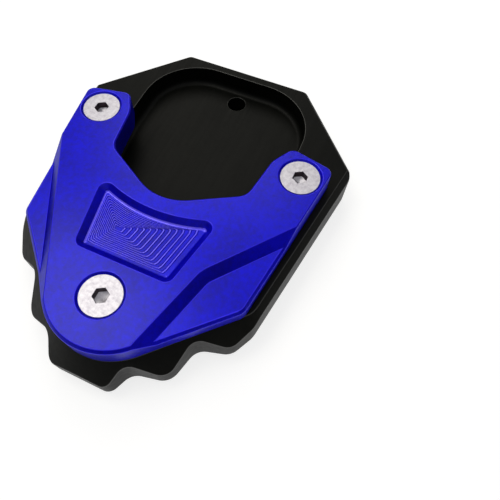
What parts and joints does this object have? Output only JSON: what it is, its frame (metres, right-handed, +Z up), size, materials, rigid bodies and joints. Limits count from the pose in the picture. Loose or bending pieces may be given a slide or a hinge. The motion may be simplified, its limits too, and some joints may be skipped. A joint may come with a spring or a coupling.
{
  "type": "kickstand foot enlarger",
  "caption": "Two-piece milled aluminium foot for a motorbike side stand: a scalloped base plate with a pocket for the stand's foot, under a screwed-down forked clamp plate.",
  "frame": {"origin": "centre of the part's box at the underside of the base plate", "axes": "+Z up through the screws, +Y from the scalloped front towards the pocket, +X to the right"},
  "size_m": [0.0942, 0.1144, 0.0208],
  "materials": {
    "black_anodised": "satin black anodised",
    "blue_anodised": "satin royal blue anodised",
    "stainless_steel": "turned stainless steel"
  },
  "bodies": {
    "root": {"base_plate": "black_anodised", "clamp_plate": "blue_anodised", "clamp_screws": "stainless_steel"}
  },
  "joints": []
}
